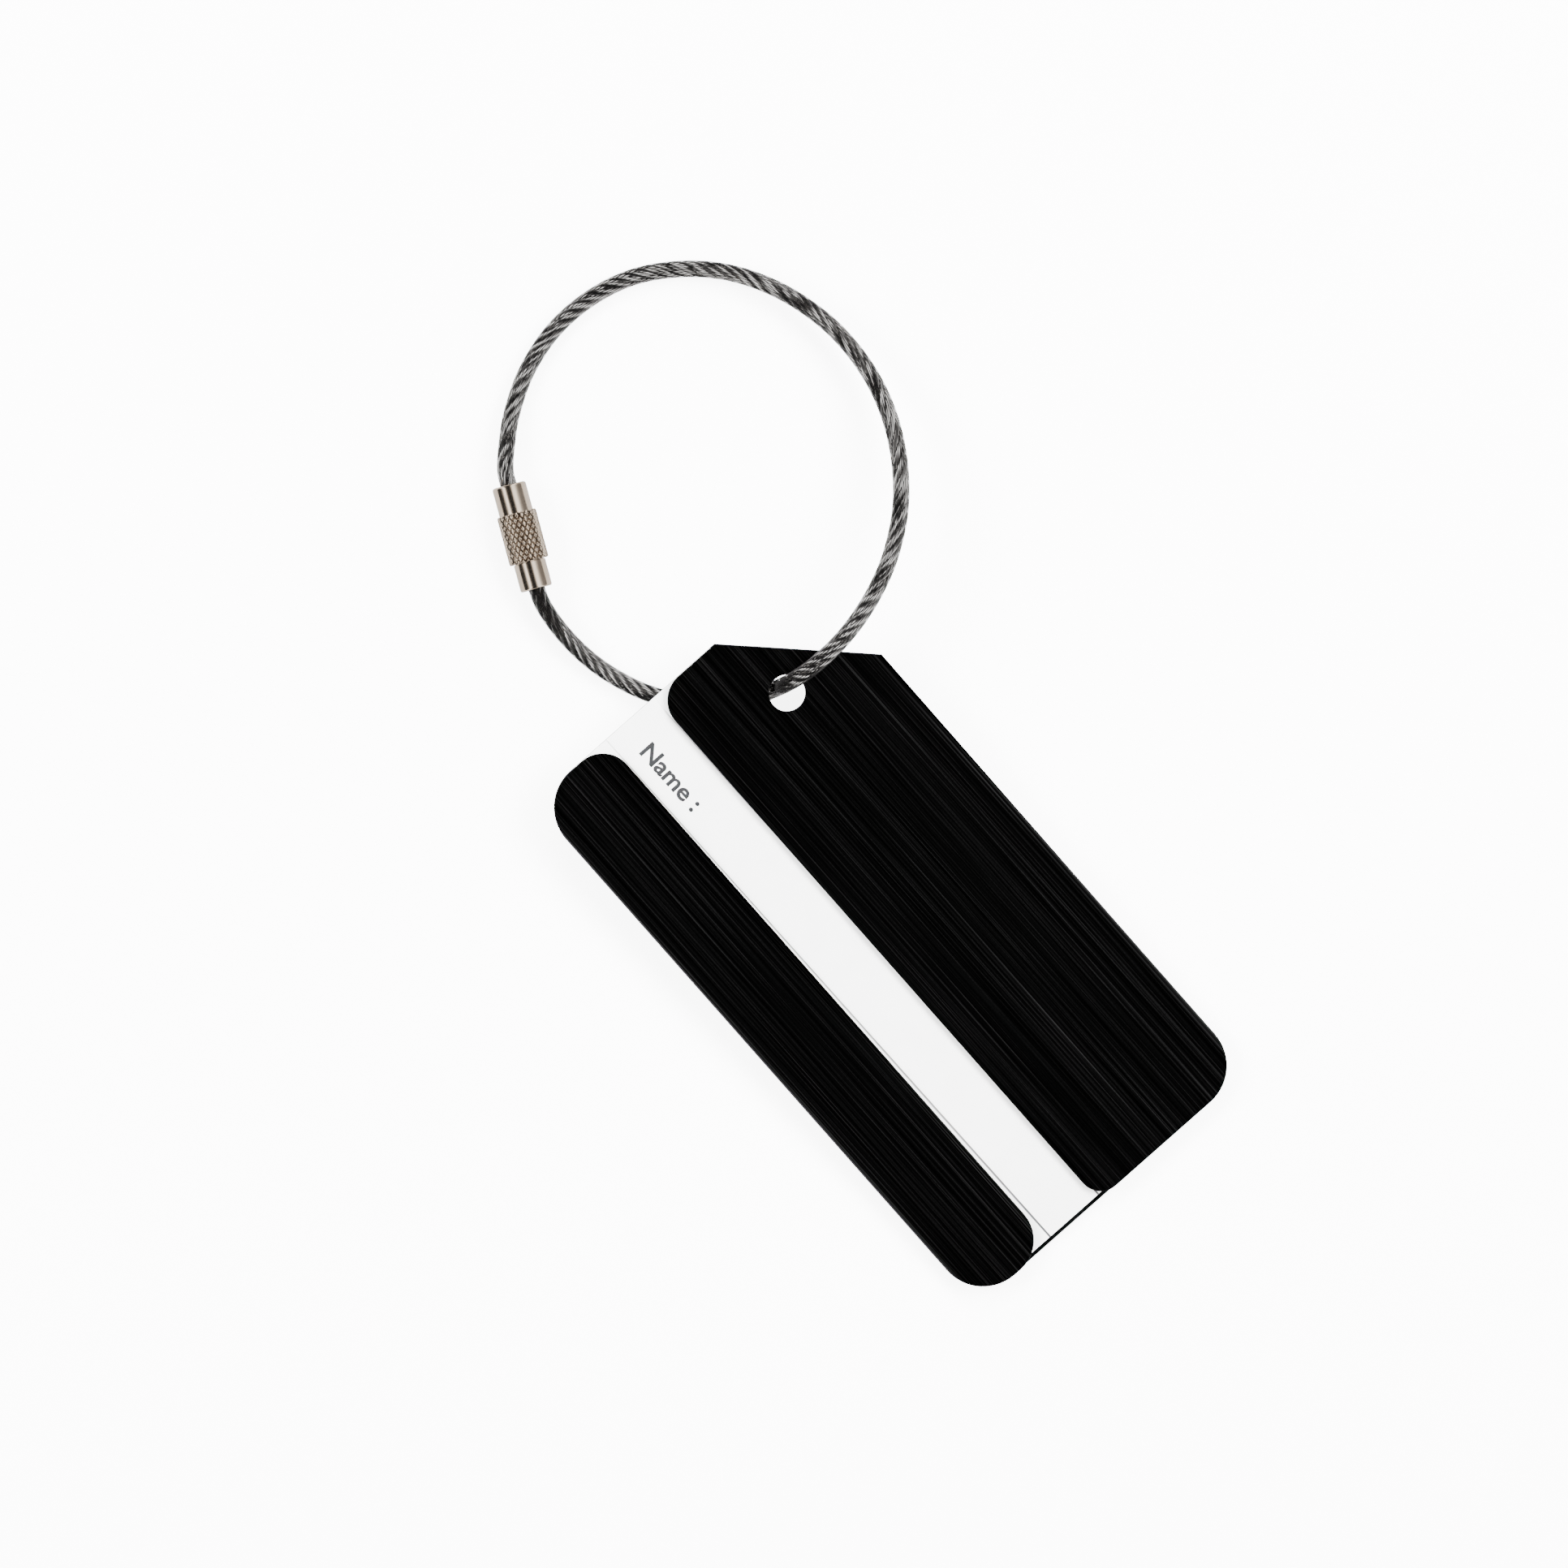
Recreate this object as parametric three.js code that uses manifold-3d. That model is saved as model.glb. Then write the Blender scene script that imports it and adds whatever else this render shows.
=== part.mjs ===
// Luggage tag: a case folded from one sheet of metal, a card that slides into it,
// and a loop of wire rope through the case's hole, closed by a screw clasp.
//
// Millimetres, +Z up. The tag lies on its back on a flat surface at z = 0, with its
// hole end towards +Y and its cut corner towards +X. The loop passes up through the
// hole and holds that end off the surface, so the case leans on its bottom edge.
import * as THREE from "three";
import { mergeVertices } from "three/addons/utils/BufferGeometryUtils.js";
import Module from "manifold-3d";

const wasm = await Module();
wasm.setup();

// Case
const CASE_LENGTH = 80;
const CASE_WIDTH = 42.6;
const SHEET = 0.5;
const POCKET_HEIGHT = 1.0;
const CASE_THICKNESS = POCKET_HEIGHT + 2 * SHEET;
const CORNER_RADIUS = 5.8;
const CUT_CORNER = 14;
const LEAN = THREE.MathUtils.degToRad(3);

// Slot between the two front flaps, and the rounding of the flaps' inner corners
const SLOT_LEFT = -9.95;
const SLOT_RIGHT = -2.27;
const TOP_ROUNDING = 3.8;
const LEFT_FOOT_ROUNDING = 4.7;
const RIGHT_FOOT_ROUNDING = 2.8;

// Hole for the loop, in the case's own plane
const HOLE_X = 9.9;
const HOLE_Y = 30;
const HOLE_RADIUS = 2.2;

// Card
const CARD_THICKNESS = 0.3;
const CARD_WIDTH = 40.9;
const CARD_BOTTOM = -39.75;
const CARD_TOP = 40;
const CARD_CORNER_RADIUS = 5.6;
const CARD_CUT_X = 6.6;
const CARD_CUT_Y = 29;

// Cable and clasp
const CABLE_RADIUS = 1.0;
const CABLE_SIDES = 8;
const CABLE_STEPS = 80;
const GRIP_RADIUS = 2.4;
const NECK_RADIUS = 2.05;
const FERRULE_RADIUS = 1.93;
const FERRULE_LENGTH = 3.3;
const SOCKET_DEPTH = 2.3;
const SOCKET_RADIUS = 1.3;
const STUD_RADIUS = 1.2;
const STUD_END = 6.3;
const BARREL_START = 3.4;
const GRIP_END = 9.3;
const BARREL_END = 12.8;
const THREAD_BORE_RADIUS = 1.5;
const THREAD_BORE_END = 6.6;
const STOP_ROOM_RADIUS = 1.8;
const STOP_ROOM_END = 9.6;
const CABLE_BORE_RADIUS = 1.35;
const STOP_START = 6.9;
const STOP_END = 9.3;
const STOP_RADIUS = 1.55;
const STOP_BORE_RADIUS = 1.22;
const EDGE = 0.25;
const ROUND_SEGMENTS = 36;

// The clasp lies flat on its grip. Lengths along it count from the ferrule's open end.
const CLASP_START = new THREE.Vector3(-4.21, 58.9, GRIP_RADIUS + 0.03);
const CLASP_TURN = THREE.MathUtils.degToRad(26.3);
const CLASP_AXIS = new THREE.Vector3(Math.sin(CLASP_TURN), Math.cos(CLASP_TURN), 0);

function claspPoint(distance) {
  return CLASP_START.clone().addScaledVector(CLASP_AXIS, distance);
}

// The cable's centre line, from inside the ferrule, under the case, up through the
// hole, round the loop and into the barrel.
const CABLE_ROUTE = [
  claspPoint(2.0),
  claspPoint(0),
  new THREE.Vector3(-4.98, 56.6, 2.32),
  new THREE.Vector3(-5.36, 53.0, 1.88),
  new THREE.Vector3(-5.15, 49.0, 1.35),
  new THREE.Vector3(-4.3, 45.2, 1.15),
  new THREE.Vector3(-2.7, 41.2, 1.05),
  new THREE.Vector3(-0.3, 37.6, 1.05),
  new THREE.Vector3(2.5, 34.75, 1.05),
  new THREE.Vector3(5.2, 32.8, 1.08),
  new THREE.Vector3(7.75, 31.68, 1.85),
  new THREE.Vector3(9.4, 31.1, 3.4),
  new THREE.Vector3(10.42, 30.77, 5.35),
  new THREE.Vector3(12.1, 30.4, 7.0),
  new THREE.Vector3(14.7, 30.15, 8.1),
  new THREE.Vector3(18.4, 30.25, 8.45),
  new THREE.Vector3(22.4, 30.95, 8.3),
  new THREE.Vector3(26.4, 32.25, 7.95),
  new THREE.Vector3(30.2, 34.15, 7.45),
  new THREE.Vector3(34.3, 37.2, 6.75),
  new THREE.Vector3(37.65, 41.0, 6.0),
  new THREE.Vector3(40.3, 45.4, 5.25),
  new THREE.Vector3(42.05, 50.2, 4.4),
  new THREE.Vector3(42.8, 55.4, 3.7),
  new THREE.Vector3(42.5, 60.7, 3.0),
  new THREE.Vector3(40.9, 66.5, 2.35),
  new THREE.Vector3(38.0, 71.8, 1.8),
  new THREE.Vector3(34.0, 76.0, 1.4),
  new THREE.Vector3(29.0, 79.15, 1.15),
  new THREE.Vector3(23.5, 80.65, 1.05),
  new THREE.Vector3(17.8, 80.7, 1.05),
  new THREE.Vector3(12.3, 79.25, 1.15),
  new THREE.Vector3(7.7, 76.75, 1.45),
  new THREE.Vector3(4.55, 74.2, 2.0),
  claspPoint(14.6).add(new THREE.Vector3(0.08, -0.04, -0.05)),
  claspPoint(12.4),
  claspPoint(9.8),
  claspPoint(7.2),
];

const COLOURS = {
  anodised: { color: 0x0b0b0c, roughness: 0.38, metalness: 0.9 },
  card: { color: 0xf6f6f4, roughness: 0.7, metalness: 0 },
  rope: { color: 0x8d8b88, roughness: 0.35, metalness: 0.9 },
  nickel: { color: 0xc9beb0, roughness: 0.22, metalness: 1 },
};

function named(name, geometry, finish) {
  const mesh = new THREE.Mesh(geometry, new THREE.MeshStandardMaterial(finish));
  mesh.name = name;
  return mesh;
}

function toSolid(geometry) {
  const bare = geometry.clone();
  bare.deleteAttribute("normal");
  bare.deleteAttribute("uv");
  const merged = mergeVertices(bare, 1e-5);
  const vertProperties = new Float32Array(merged.attributes.position.array);
  const triVerts = new Uint32Array(merged.index.array);
  return new wasm.Manifold(new wasm.Mesh({ numProp: 3, vertProperties, triVerts }));
}

function toGeometry(solid) {
  const mesh = solid.getMesh();
  const geometry = new THREE.BufferGeometry();
  geometry.setAttribute("position", new THREE.BufferAttribute(mesh.vertProperties, 3));
  geometry.setIndex(new THREE.BufferAttribute(mesh.triVerts, 1));
  geometry.computeVertexNormals();
  return geometry;
}

function prism(shape, bottom, top, curveSegments) {
  const options = { depth: top - bottom, bevelEnabled: false, curveSegments };
  return new THREE.ExtrudeGeometry(shape, options).translate(0, 0, bottom);
}

// Plan outline of the case: three round corners and one cut at 45 degrees.
function caseOutline() {
  const x = CASE_WIDTH / 2;
  const y = CASE_LENGTH / 2;
  const r = CORNER_RADIUS;
  const shape = new THREE.Shape();
  shape.moveTo(-x + r, -y);
  shape.lineTo(x - r, -y);
  shape.absarc(x - r, -y + r, r, -Math.PI / 2, 0, false);
  shape.lineTo(x, y - CUT_CORNER);
  shape.lineTo(x - CUT_CORNER, y);
  shape.lineTo(-x + r, y);
  shape.absarc(-x + r, y - r, r, Math.PI / 2, Math.PI, false);
  shape.lineTo(-x, -y + r);
  shape.absarc(-x + r, -y + r, r, Math.PI, Math.PI * 1.5, false);
  return shape;
}

// A flat sleeve along Y: the sheet with a half-round fold along both long sides.
function foldedSleeve() {
  const x = (CASE_WIDTH - CASE_THICKNESS) / 2;
  const mid = CASE_THICKNESS / 2;
  const section = new THREE.Shape();
  section.moveTo(-x, 0);
  section.lineTo(x, 0);
  section.absarc(x, mid, mid, -Math.PI / 2, Math.PI / 2, false);
  section.lineTo(-x, CASE_THICKNESS);
  section.absarc(-x, mid, mid, Math.PI / 2, Math.PI * 1.5, false);
  const inside = new THREE.Path();
  const inner = POCKET_HEIGHT / 2;
  inside.moveTo(-x, mid - inner);
  inside.lineTo(x, mid - inner);
  inside.absarc(x, mid, inner, -Math.PI / 2, Math.PI / 2, false);
  inside.lineTo(-x, mid + inner);
  inside.absarc(-x, mid, inner, Math.PI / 2, Math.PI * 1.5, false);
  section.holes.push(inside);
  const overrun = 2;
  const half = CASE_LENGTH / 2 + overrun;
  return prism(section, -half, half, 10).rotateX(Math.PI / 2);
}

// What is missing between the flaps: the slot, flaring where the flaps' corners round off.
function slotOutline() {
  const y = CASE_LENGTH / 2;
  const overrun = 2;
  const shape = new THREE.Shape();
  shape.moveTo(SLOT_RIGHT + RIGHT_FOOT_ROUNDING, -y - overrun);
  shape.lineTo(SLOT_RIGHT + RIGHT_FOOT_ROUNDING, -y);
  shape.absarc(
    SLOT_RIGHT + RIGHT_FOOT_ROUNDING, -y + RIGHT_FOOT_ROUNDING,
    RIGHT_FOOT_ROUNDING, -Math.PI / 2, -Math.PI, true,
  );
  shape.lineTo(SLOT_RIGHT, y - TOP_ROUNDING);
  shape.absarc(
    SLOT_RIGHT + TOP_ROUNDING, y - TOP_ROUNDING, TOP_ROUNDING, Math.PI, Math.PI / 2, true,
  );
  shape.lineTo(SLOT_RIGHT + TOP_ROUNDING, y + overrun);
  shape.lineTo(SLOT_LEFT - TOP_ROUNDING, y + overrun);
  shape.lineTo(SLOT_LEFT - TOP_ROUNDING, y);
  shape.absarc(
    SLOT_LEFT - TOP_ROUNDING, y - TOP_ROUNDING, TOP_ROUNDING, Math.PI / 2, 0, true,
  );
  shape.lineTo(SLOT_LEFT, -y + LEFT_FOOT_ROUNDING);
  shape.absarc(
    SLOT_LEFT - LEFT_FOOT_ROUNDING, -y + LEFT_FOOT_ROUNDING,
    LEFT_FOOT_ROUNDING, 0, -Math.PI / 2, true,
  );
  shape.lineTo(SLOT_LEFT - LEFT_FOOT_ROUNDING, -y - overrun);
  return shape;
}

function makeCase() {
  const overrun = 1;
  const outline = toSolid(prism(caseOutline(), -overrun, CASE_THICKNESS + overrun, 12));
  const slot = toSolid(
    prism(slotOutline(), CASE_THICKNESS / 2, CASE_THICKNESS + overrun, 10),
  );
  const drill = new THREE.CylinderGeometry(HOLE_RADIUS, HOLE_RADIUS, 3 * CASE_THICKNESS, 40);
  drill.rotateX(Math.PI / 2).translate(HOLE_X, HOLE_Y, CASE_THICKNESS / 2);
  const solid = toSolid(foldedSleeve()).intersect(outline).subtract(slot).subtract(toSolid(drill));
  return named("case", toGeometry(solid), COLOURS.anodised);
}

// The card follows the case's outline, with one corner cut back far enough to slide
// out past the cable.
function makeCard() {
  const x = CARD_WIDTH / 2;
  const r = CARD_CORNER_RADIUS;
  const drop = x - CARD_CUT_X;
  const shape = new THREE.Shape();
  shape.moveTo(-x + r, CARD_BOTTOM);
  shape.lineTo(x - r, CARD_BOTTOM);
  shape.absarc(x - r, CARD_BOTTOM + r, r, -Math.PI / 2, 0, false);
  shape.lineTo(x, CARD_CUT_Y - drop);
  shape.lineTo(CARD_CUT_X, CARD_CUT_Y);
  shape.lineTo(CARD_CUT_X, CARD_TOP);
  shape.lineTo(-x + r, CARD_TOP);
  shape.absarc(-x + r, CARD_TOP - r, r, Math.PI / 2, Math.PI, false);
  shape.lineTo(-x, CARD_BOTTOM + r);
  shape.absarc(-x + r, CARD_BOTTOM + r, r, Math.PI, Math.PI * 1.5, false);
  const bottom = (CASE_THICKNESS - CARD_THICKNESS) / 2;
  return named("name_card", prism(shape, bottom, bottom + CARD_THICKNESS, 10), COLOURS.card);
}

function makeCable() {
  const section = new THREE.Shape();
  section.absarc(0, 0, CABLE_RADIUS, 0, Math.PI * 2, false);
  const extrudePath = new THREE.CatmullRomCurve3(CABLE_ROUTE, false, "catmullrom", 0.5);
  const geometry = new THREE.ExtrudeGeometry(section, {
    steps: CABLE_STEPS,
    curveSegments: CABLE_SIDES / 2,
    bevelEnabled: false,
    extrudePath,
  });
  return named("cable", geometry, COLOURS.rope);
}

function turned(name, profile) {
  const points = profile.map(([radius, along]) => new THREE.Vector2(radius, along));
  return named(name, new THREE.LatheGeometry(points, ROUND_SEGMENTS), COLOURS.nickel);
}

// Crimped on one end of the cable; its threaded stud screws into the barrel.
function makeStud() {
  return turned("clasp_stud", [
    [0, SOCKET_DEPTH],
    [SOCKET_RADIUS, SOCKET_DEPTH],
    [SOCKET_RADIUS, 0],
    [FERRULE_RADIUS - EDGE, 0],
    [FERRULE_RADIUS, EDGE],
    [FERRULE_RADIUS, FERRULE_LENGTH - EDGE],
    [FERRULE_RADIUS - EDGE, FERRULE_LENGTH],
    [STUD_RADIUS, FERRULE_LENGTH],
    [STUD_RADIUS, STUD_END - EDGE],
    [STUD_RADIUS - EDGE, STUD_END],
    [0, STUD_END],
  ]);
}

// Turned nut, captive on the cable: knurled grip, smooth neck, and room for the stop.
function makeBarrel() {
  const profile = [
    [THREAD_BORE_RADIUS, BARREL_START],
    [GRIP_RADIUS - EDGE, BARREL_START],
    [GRIP_RADIUS, BARREL_START + EDGE],
    [GRIP_RADIUS, GRIP_END - EDGE],
    [NECK_RADIUS, GRIP_END],
    [NECK_RADIUS, BARREL_END - EDGE],
    [NECK_RADIUS - EDGE, BARREL_END],
    [CABLE_BORE_RADIUS + EDGE, BARREL_END],
    [CABLE_BORE_RADIUS, BARREL_END - EDGE],
    [CABLE_BORE_RADIUS, STOP_ROOM_END],
    [STOP_ROOM_RADIUS, STOP_ROOM_END],
    [STOP_ROOM_RADIUS, THREAD_BORE_END],
    [THREAD_BORE_RADIUS, THREAD_BORE_END],
    [THREAD_BORE_RADIUS, BARREL_START],
  ];
  return turned("clasp_barrel", profile);
}

// Sleeve crimped on the cable's other end, which keeps the barrel from coming off.
function makeStop() {
  const profile = [
    [STOP_BORE_RADIUS, STOP_START],
    [STOP_RADIUS, STOP_START],
    [STOP_RADIUS, STOP_END],
    [STOP_BORE_RADIUS, STOP_END],
    [STOP_BORE_RADIUS, STOP_START],
  ];
  return turned("cable_stop", profile);
}

const leaning = new THREE.Group();
leaning.rotation.x = LEAN;
leaning.position.y = (CASE_THICKNESS * Math.sin(LEAN)) / 2;
leaning.position.z = (CASE_LENGTH / 2) * Math.sin(LEAN);
leaning.add(makeCase(), makeCard());

const clasp = new THREE.Group();
clasp.position.copy(CLASP_START);
clasp.rotation.z = -CLASP_TURN;
clasp.add(makeStud(), makeStop(), makeBarrel());

const luggageTag = new THREE.Group();
luggageTag.add(leaning, makeCable(), clasp);

export default luggageTag;
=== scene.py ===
"""A luggage tag: a case folded from brushed, black anodised sheet, a white name card
behind its front slot, and a loop of wire rope closed by a knurled screw clasp.

Metres, +Z up. The tag lies on its back, with its hole end towards +Y and its cut
corner towards +X, and leans on its bottom edge because the loop holds the hole end up.
"""

import math

import bpy
import numpy as np
from mathutils import Matrix, Vector


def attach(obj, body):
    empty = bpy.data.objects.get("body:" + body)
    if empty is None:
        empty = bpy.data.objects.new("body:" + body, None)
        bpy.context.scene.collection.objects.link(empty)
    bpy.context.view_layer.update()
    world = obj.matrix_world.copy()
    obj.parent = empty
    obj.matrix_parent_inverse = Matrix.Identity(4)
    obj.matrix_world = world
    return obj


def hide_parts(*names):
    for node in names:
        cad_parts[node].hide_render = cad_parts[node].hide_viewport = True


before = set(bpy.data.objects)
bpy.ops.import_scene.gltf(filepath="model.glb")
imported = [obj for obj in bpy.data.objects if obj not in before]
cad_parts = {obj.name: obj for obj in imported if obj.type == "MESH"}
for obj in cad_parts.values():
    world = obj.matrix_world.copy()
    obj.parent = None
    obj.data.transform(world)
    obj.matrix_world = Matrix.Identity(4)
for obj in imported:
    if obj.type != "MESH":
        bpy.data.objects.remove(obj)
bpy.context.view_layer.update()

MM = 0.001

# Case: the slot is the gap between its two front flaps, and the roundings are the flaps' own
CASE_LENGTH = 80 * MM
CASE_WIDTH = 42.6 * MM
SHEET = 0.5 * MM
POCKET_HEIGHT = 1.0 * MM
CASE_THICKNESS = POCKET_HEIGHT + 2 * SHEET
CORNER_RADIUS = 5.8 * MM
CUT_CORNER = 14 * MM
LEAN = math.radians(3)
SLOT_LEFT = -9.95 * MM
SLOT_RIGHT = -2.27 * MM
TOP_ROUNDING = 3.8 * MM
LEFT_FOOT_ROUNDING = 4.7 * MM
RIGHT_FOOT_ROUNDING = 2.8 * MM
HOLE_PLACE = (9.9 * MM, 30 * MM)
BACK_HOLE_PLACE = (9.95 * MM, 29.86 * MM)
HOLE_RADIUS = 2.2 * MM
EDGE_BREAK = 0.04 * MM
CORNER_STEPS = 14
FOLD_STEPS = 14
HOLE_STEPS = 96

# Card: its bottom ends just short of the case's, so that the back sheet's edge shows
CARD_THICKNESS = 0.3 * MM
CARD_HALF_WIDTH = 20.45 * MM
CARD_BOTTOM = -39.45 * MM
CARD_TOP = 40 * MM
CARD_CORNER_RADIUS = 5.6 * MM
CARD_CUT = (6.6 * MM, 29 * MM)
CARD_EDGE_BREAK = 0.03 * MM
PANEL_RISE = 0.1 * MM
PANEL_WIDTH = 7.4 * MM
PANEL_MIDDLE = (SLOT_LEFT + SLOT_RIGHT) / 2 + 0.25 * MM
CREASE_WIDTH = 0.26 * MM
CREASE_DEPTH = 0.08 * MM
PANEL_TURN = math.radians(0.4)
LABEL_BASELINE = -8.08 * MM
LABEL_START = 36.2 * MM
LABEL_LENGTH = 9.4 * MM
LABEL_HEIGHT = 2.2 * MM
LABEL_WEIGHT = 0.026
INK_LIFT = 0.01 * MM

# Rope: six strands round a core, each of six wires, in a clear jacket. A circle is the radius
# at which wires or strands lie round their middle, and a lay the length of one turn.
CABLE_DIAMETER = 2.0 * MM
ROUTE_STEP = 0.3 * MM
WIRES = 6
WIRE_RADIUS = 0.112 * MM
WIRE_CIRCLE = 0.208 * MM
WIRE_LAY = 6.5 * MM
STRANDS = 6
STRAND_RADIUS = WIRE_CIRCLE + WIRE_RADIUS
STRAND_CIRCLE = 0.64 * MM
STRAND_LAY = 10.3 * MM

# Clasp, with lengths counted along it from the ferrule's open end
GRIP_RADIUS = 2.4 * MM
NECK_RADIUS = 2.05 * MM
FERRULE_RADIUS = 1.93 * MM
FERRULE_LENGTH = 3.3 * MM
BARREL_START = 3.38 * MM
GRIP_END = 9.3 * MM
BARREL_END = 12.8 * MM
STOP_START = 6.9 * MM
STOP_END = 9.3 * MM
CABLE_BORE = 1.04 * MM
FLOOR_GAP = 0.03 * MM
CLASP_START = Vector((-4.21 * MM, 58.9 * MM, GRIP_RADIUS + FLOOR_GAP))
CLASP_TURN = math.radians(26.3)
CLASP_AXIS = Vector((math.sin(CLASP_TURN), math.cos(CLASP_TURN), 0))

# View
VIEW_CENTRE = Vector((2.49 * MM, 22.0 * MM, 0))
VIEW_TURN = math.radians(-41.42)
VIEW_WIDTH = 186.9 * MM
VIEW_DISTANCE = 1.6

# Studio: what the metal mirrors above its own level, as (place, brightness) from the clasp's
# left side to its right, and what it mirrors below that level
STUDIO_PANELS = [
    (0.0, 0.04),
    (0.06, 0.05),
    (0.1, 0.3),
    (0.15, 2.6),
    (0.22, 4.6),
    (0.27, 0.5),
    (0.33, 0.03),
    (0.53, 0.02),
    (0.58, 0.3),
    (0.65, 3.0),
    (0.76, 3.2),
    (0.86, 0.9),
    (0.93, 0.36),
    (1.0, 0.33),
]
TABLE_GLOW = 1.7
TABLE_LEVEL = -0.02
WORLD_LIGHT = 1.0
FLOOR_GLOW = 6.0
ROOM_HALF = 3.0
FLOOR_FALL = 0.1


def clasp_point(distance, aside=(0, 0, 0)):
    """A point on the clasp's axis, counted in millimetres from the ferrule's open end."""
    return CLASP_START + CLASP_AXIS * distance * MM + Vector(aside) * MM


# The rope's middle line: out of the ferrule, under the tag, up through its hole, round the loop
# and into the barrel, as far as the stop.
CABLE_ROUTE = [
    clasp_point(2.0),
    clasp_point(0),
    Vector((-4.98, 56.6, 2.32)) * MM,
    Vector((-5.36, 53.0, 1.88)) * MM,
    Vector((-5.15, 49.0, 1.35)) * MM,
    Vector((-4.3, 45.2, 1.15)) * MM,
    Vector((-2.7, 41.2, 1.05)) * MM,
    Vector((-0.3, 37.6, 1.05)) * MM,
    Vector((2.5, 34.75, 1.05)) * MM,
    Vector((5.2, 32.8, 1.08)) * MM,
    Vector((7.75, 31.68, 1.85)) * MM,
    Vector((9.4, 31.1, 3.4)) * MM,
    Vector((10.42, 30.77, 5.35)) * MM,
    Vector((12.1, 30.4, 7.0)) * MM,
    Vector((14.7, 30.15, 8.1)) * MM,
    Vector((18.4, 30.25, 8.45)) * MM,
    Vector((22.4, 30.95, 8.3)) * MM,
    Vector((26.4, 32.25, 7.95)) * MM,
    Vector((30.2, 34.15, 7.45)) * MM,
    Vector((34.3, 37.2, 6.75)) * MM,
    Vector((37.65, 41.0, 6.0)) * MM,
    Vector((40.3, 45.4, 5.25)) * MM,
    Vector((42.05, 50.2, 4.4)) * MM,
    Vector((42.8, 55.4, 3.7)) * MM,
    Vector((42.5, 60.7, 3.0)) * MM,
    Vector((40.9, 66.5, 2.35)) * MM,
    Vector((38.0, 71.8, 1.8)) * MM,
    Vector((34.0, 76.0, 1.4)) * MM,
    Vector((29.0, 79.15, 1.15)) * MM,
    Vector((23.5, 80.65, 1.05)) * MM,
    Vector((17.8, 80.7, 1.05)) * MM,
    Vector((12.3, 79.25, 1.15)) * MM,
    Vector((7.7, 76.75, 1.45)) * MM,
    Vector((4.55, 74.2, 2.0)) * MM,
    clasp_point(14.6, aside=(0.08, -0.04, -0.05)),
    clasp_point(12.4),
    clasp_point(9.8),
    clasp_point(7.2),
]

# The case's own plane: its back lies at z = 0 there, and its middle at the origin.
FROM_CASE_PLANE = Matrix.Translation(
    (0, CASE_THICKNESS * math.sin(LEAN) / 2, CASE_LENGTH / 2 * math.sin(LEAN))
) @ Matrix.Rotation(LEAN, 4, "X")

# The clasp's own line: its axis runs up +Z there, from the ferrule's open end.
FROM_CLASP_LINE = (
    Matrix.Translation(CLASP_START)
    @ Matrix.Rotation(-CLASP_TURN, 4, "Z")
    @ Matrix.Rotation(-math.pi / 2, 4, "X")
)


# ---------------------------------------------------------------- camera


def make_camera():
    data = bpy.data.cameras.new("camera")
    data.sensor_width = 36
    data.lens = data.sensor_width * VIEW_DISTANCE / VIEW_WIDTH
    data.clip_start = 0.01
    data.clip_end = 10
    camera = bpy.data.objects.new("camera", data)
    camera.location = VIEW_CENTRE + Vector((0, 0, VIEW_DISTANCE))
    camera.rotation_euler = (0, 0, VIEW_TURN)
    bpy.context.collection.objects.link(camera)
    bpy.context.scene.camera = camera


# ---------------------------------------------------------------- material nodes


class Nodes:
    """Adds and links the nodes of one material or node group."""

    def __init__(self, tree):
        self.tree = tree

    def add(self, kind, **settings):
        node = self.tree.nodes.new(kind)
        for name, value in settings.items():
            setattr(node, name, value)
        return node

    def link(self, output, node_input):
        self.tree.links.new(output, node_input)

    def math(self, operation, first, second):
        node = self.add("ShaderNodeMath", operation=operation)
        for slot, value in zip(node.inputs, (first, second)):
            if hasattr(value, "is_output"):
                self.link(value, slot)
            else:
                slot.default_value = value
        return node.outputs[0]

    def ramp(self, factor, stops):
        node = self.add("ShaderNodeValToRGB")
        elements = node.color_ramp.elements
        while len(elements) < len(stops):
            elements.new(0.5)
        for element, (position, colour) in zip(elements, stops):
            element.position = position
            element.color = (*colour, 1)
        self.link(factor, node.inputs["Fac"])
        return node.outputs["Color"]

    def mix_colours(self, factor, colour, other):
        """From the linked colour at factor 0 to the plain other colour at factor 1."""
        node = self.add("ShaderNodeMix", data_type="RGBA")
        self.link(factor, node.inputs[0])
        self.link(colour, node.inputs[6])
        node.inputs[7].default_value = (*other, 1)
        return node.outputs[2]

    def noise(self, vector, scale, detail=2.0, roughness=0.5):
        node = self.add("ShaderNodeTexNoise")
        node.inputs["Scale"].default_value = scale
        node.inputs["Detail"].default_value = detail
        node.inputs["Roughness"].default_value = roughness
        self.link(vector, node.inputs["Vector"])
        return node.outputs["Fac"]

    def place(self):
        """Places on the object, in metres."""
        return self.add("ShaderNodeTexCoord").outputs["Object"]

    def turned(self, vector, turn):
        node = self.add("ShaderNodeMapping")
        node.inputs["Rotation"].default_value = turn
        self.link(vector, node.inputs["Vector"])
        return node.outputs["Vector"]

    def spread(self, value, low, high, start=0.0, end=1.0):
        """From low to high as the value goes from start to end, and no further."""
        node = self.add("ShaderNodeMapRange")
        node.inputs["From Min"].default_value = start
        node.inputs["From Max"].default_value = end
        node.inputs["To Min"].default_value = low
        node.inputs["To Max"].default_value = high
        self.link(value, node.inputs["Value"])
        return node.outputs["Result"]


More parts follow.
